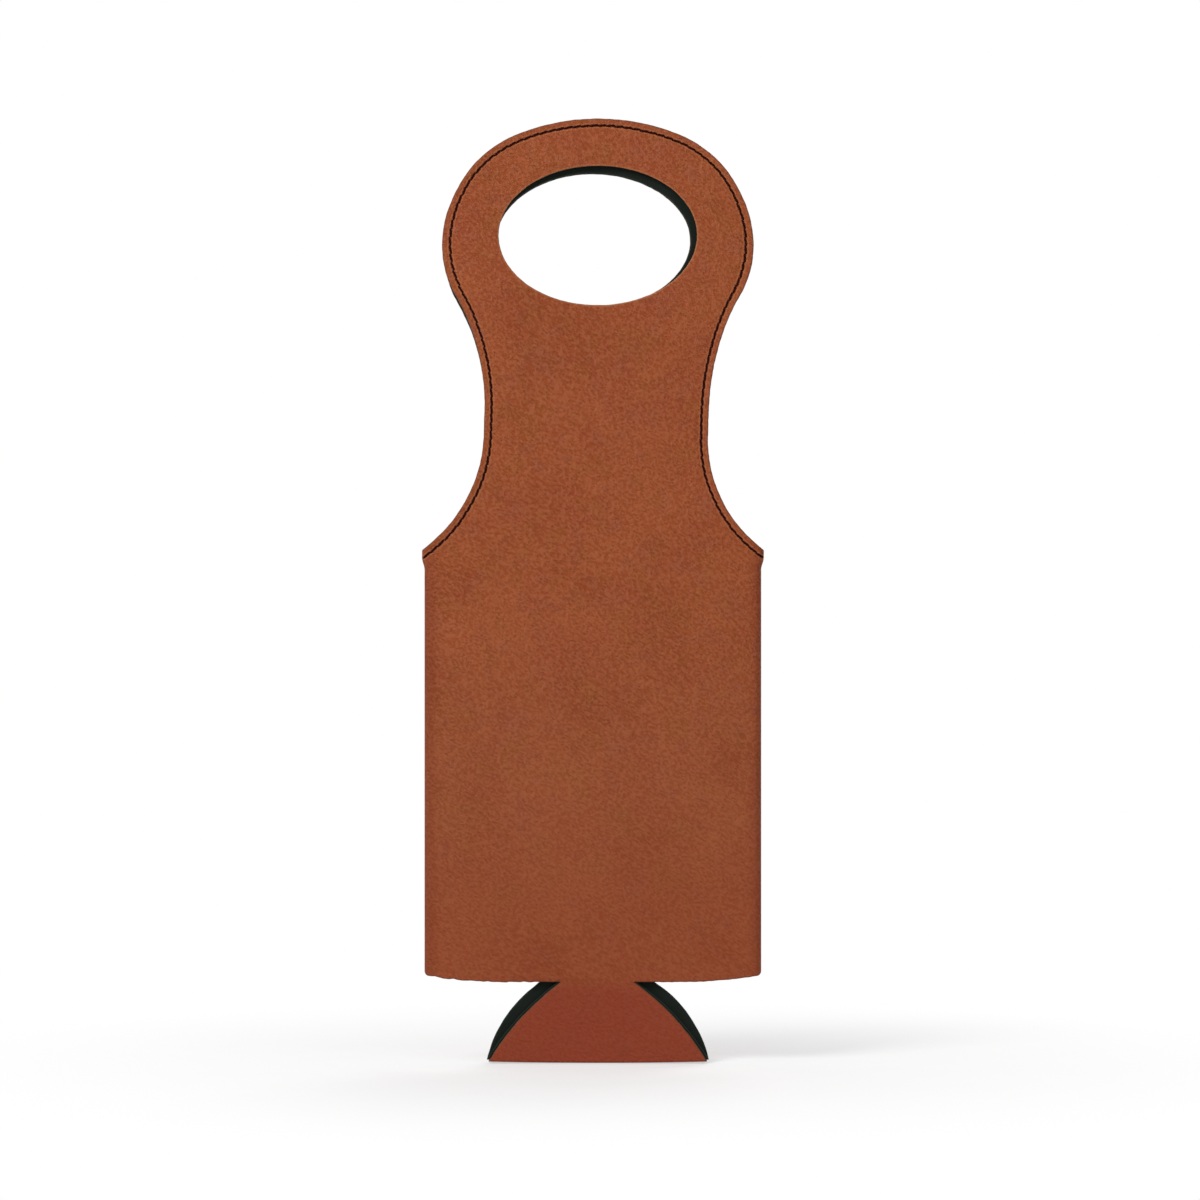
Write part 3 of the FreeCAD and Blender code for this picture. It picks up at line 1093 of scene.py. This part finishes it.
# %% [markdown]
# ## Cut edge, foam and thread
#
# The cut edge shows the backing of the leatherette, a darker brown felt. The foam is a greenish black
# with fine closed pores and a painted highlight along its cut edge. The thread is a dark maroon that is
# almost black, with a little fuzz.

# %% Mix the darker finishes
felt_browns = (0.085, 0.030, 0.016, 1), (0.19, 0.075, 0.038, 1)
foam_blacks = (0.0045, 0.0075, 0.0055, 1), (0.0105, 0.0150, 0.0115, 1)
pore_black = (0.002, 0.003, 0.002, 1)
# painted highlight along the foam's cut edge
foam_edge_highlight = (0.022, 0.036, 0.026, 1)
topstitch_maroons = (0.009, 0.0006, 0.0008, 1), (0.024, 0.0022, 0.0024, 1)
seam_browns = (0.020, 0.008, 0.006, 1), (0.045, 0.018, 0.014, 1)


def raw_backing():
    material, tree, shader = new_material("raw_leatherette_edge")
    place = stored(tree, "sheet_place", "Vector")
    fibres = noise(turned(place, 0, 3.0, 3.0), 1.2, 4.0)
    colour = mixed(fibres, *felt_browns)
    coat(shader, colour, fibres, depth=0.15, strength=0.7, roughness=0.9, specular=0.15)
    return material


def black_foam():
    material, tree, shader = new_material("black_foam")
    place = stored(tree, "sheet_place", "Vector")
    pores = add(tree, "TexVoronoi", Vector=place, Scale=1.5).outputs["Distance"]
    colour = mixed(noise(place, 0.12, 4.0), *foam_blacks)
    colour = tinted(colour, pore_black, pores, 0.1, 0.35, 0.6)
    # painted highlight along the foam's cut edge
    colour = tinted(colour, foam_edge_highlight, stored(tree, "edge_gap"), 0.1, 0.5, 0.7)
    coat(shader, colour, pores, depth=0.1, strength=0.6, roughness=0.85, specular=0.12)
    return material


def dark_thread(name, dark, light):
    material, tree, shader = new_material(name)
    fuzz = noise(add(tree, "TexCoord").outputs["Object"], 2.4 / mm)
    colour = tinted(dark, light, fuzz, 0.3, 0.7, 0, 1)
    coat(shader, colour, fuzz, depth=0.05, strength=0.5, roughness=0.8, specular=0.06)
    return material


backing, foam = raw_backing(), black_foam()
topstitch_thread = dark_thread("topstitch_thread", *topstitch_maroons)
seam_thread = dark_thread("seam_thread", *seam_browns)
print("finishes", [finish.name for finish in (leather, backing, foam, topstitch_thread, seam_thread)])

# %% [markdown]
# ## Dressing the solids
#
# Every sheet now takes the place of its solids and gets its finish. The seam threads are attached to the
# side walls.


def along_bend(piece):
    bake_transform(piece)


for side in ("front", "back"):
    for part, nodes in part_nodes.items():
        lining, skin = linings[side][part], skins[side][part]
        for piece, finishes in ((lining, (foam, foam)), (skin, (leather, backing))):
            for finish in finishes:
                piece.data.materials.append(finish)
            along_bend(piece)
        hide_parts(*[f"{side}_{node}_foam" for node in nodes])
        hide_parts(*[f"{side}_{node}_leather" for node in nodes])
    for part, piece in topstitches[side].items():
        piece.data.materials.append(topstitch_thread)
        along_bend(piece)
        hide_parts(f"{side}_{part.replace('loop', 'handle').split('_')[0]}_stitching")
for hand, piece in seam_threads.items():
    piece.data.materials.append(seam_thread)
    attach(piece, f"front_{hand}_side")
    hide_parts(hand + "_seam_thread")

# %% [markdown]
# ## Floor, light and background
#
# The picture is a plain product shot on white. The floor lies just below the base and fades into the
# white around it.

# %% Lay the floor
floor_gap = 0.3 * mm
floor_radius = 3.0
floor_corners = 96
floor_level = crease_level * mm - floor_gap
floor_whites = (0.90, 0.90, 0.90, 1), (0.96, 0.96, 0.96, 1)
fade_radii = (0.05, 0.36)
fade_at_base = 0.45


def seen_directly(tree):
    """1 for what is seen, also in reflections or through glass, and 0 for what only gives light."""
    path = add(tree, "LightPath")
    seen = maths("MAXIMUM", path.outputs["Is Camera Ray"], path.outputs["Is Glossy Ray"])
    return maths("MAXIMUM", seen, path.outputs["Is Transmission Ray"])


def pale_floor():
    material, tree, shader = new_material("pale_floor")
    place = add(tree, "NewGeometry").outputs["Position"]
    feed(shader.inputs["Base Color"], mixed(noise(place, 40.0, 4.0), *floor_whites))
    shader.inputs["Roughness"].default_value = 0.9
    white = add(tree, "Emission", Color=(1, 1, 1, 1), Strength=1.0)
    level_place = add(tree, "VectorMath", {"operation": "MULTIPLY"}, place, (1, 1, 0)).outputs[0]
    far = add(tree, "VectorMath", {"operation": "LENGTH"}, level_place).outputs["Value"]
    fade = stretch(far, *fade_radii, fade_at_base, 1)
    share = maths("MULTIPLY", seen_directly(tree), fade)
    blended = add(tree, "MixShader", None, share, shader.outputs[0], white.outputs[0])
    feed(tree.nodes["Material Output"].inputs["Surface"], blended.outputs[0])
    return material


rim = floor_radius * circle(full_turn(floor_corners))
rim = np.column_stack((rim, np.full(floor_corners, floor_level)))
floor_mesh = bpy.data.meshes.new("floor")
floor_mesh.from_pydata(rim.tolist(), [], [tuple(range(floor_corners))])
floor_mesh.materials.append(pale_floor())
floor = put_in_scene("floor", floor_mesh)
print("floor at", round(floor_level / mm, 1), "mm")

# %% [markdown]
# The light is soft, from above and a little from the left, with no hard shadow. The world is white for
# the camera and for reflections, and dimmer as a source of light, so that the lamps can model the
# leather.

# %% Light it
ambient_light = 0.34
lamp_target = Vector((0, 0, (crease_level + handle_top) / 2)) * mm


def soft_lamp(name, place, size, watts):
    lamp = bpy.data.lights.new(name, "AREA")
    lamp.shape = "DISK"
    lamp.size = size
    lamp.energy = watts
    holder = put_in_scene(name, lamp)
    holder.location = place
    holder.rotation_euler = (lamp_target - Vector(place)).to_track_quat("-Z", "Y").to_euler()


soft_lamp("key_lamp", (-0.95, -1.15, 0.85), size=0.8, watts=23)
soft_lamp("fill_lamp", (1.15, -1.25, 0.15), size=1.1, watts=4)
soft_lamp("back_lamp", (0.55, 1.7, 0.6), size=1.2, watts=14)

world = bpy.data.worlds.new("white_studio")
world.use_nodes = True
bpy.context.scene.world = world
background = world.node_tree.nodes["Background"]
background.inputs["Color"].default_value = (1, 1, 1, 1)
strength = stretch(seen_directly(world.node_tree), 0, 1, ambient_light, 1)
feed(background.inputs["Strength"], strength)
bpy.context.scene.view_settings.view_transform = "Standard"
print("lamps", [light.name for light in bpy.data.lights])

# %% [markdown]
# ## Camera
#
# The picture looks straight at the front from far away, so the camera has a long lens. Its frame is as
# wide as the picture's: the whole carrier takes up a little under four fifths of the height.

# %% Aim the camera
frame_width = 555.6 * mm
camera_distance = 2.2
frame_centre = Vector((3.3, 0, -200.8)) * mm
camera_data = bpy.data.cameras.new("camera")
camera_data.sensor_width = 36
camera_data.lens = camera_data.sensor_width * camera_distance / frame_width
camera = put_in_scene("camera", camera_data)
camera.location = frame_centre + Vector((0, -camera_distance, 0))
camera.rotation_euler = (math.pi / 2, 0, 0)
bpy.context.scene.camera = camera
print("lens", round(camera_data.lens, 1), "mm")
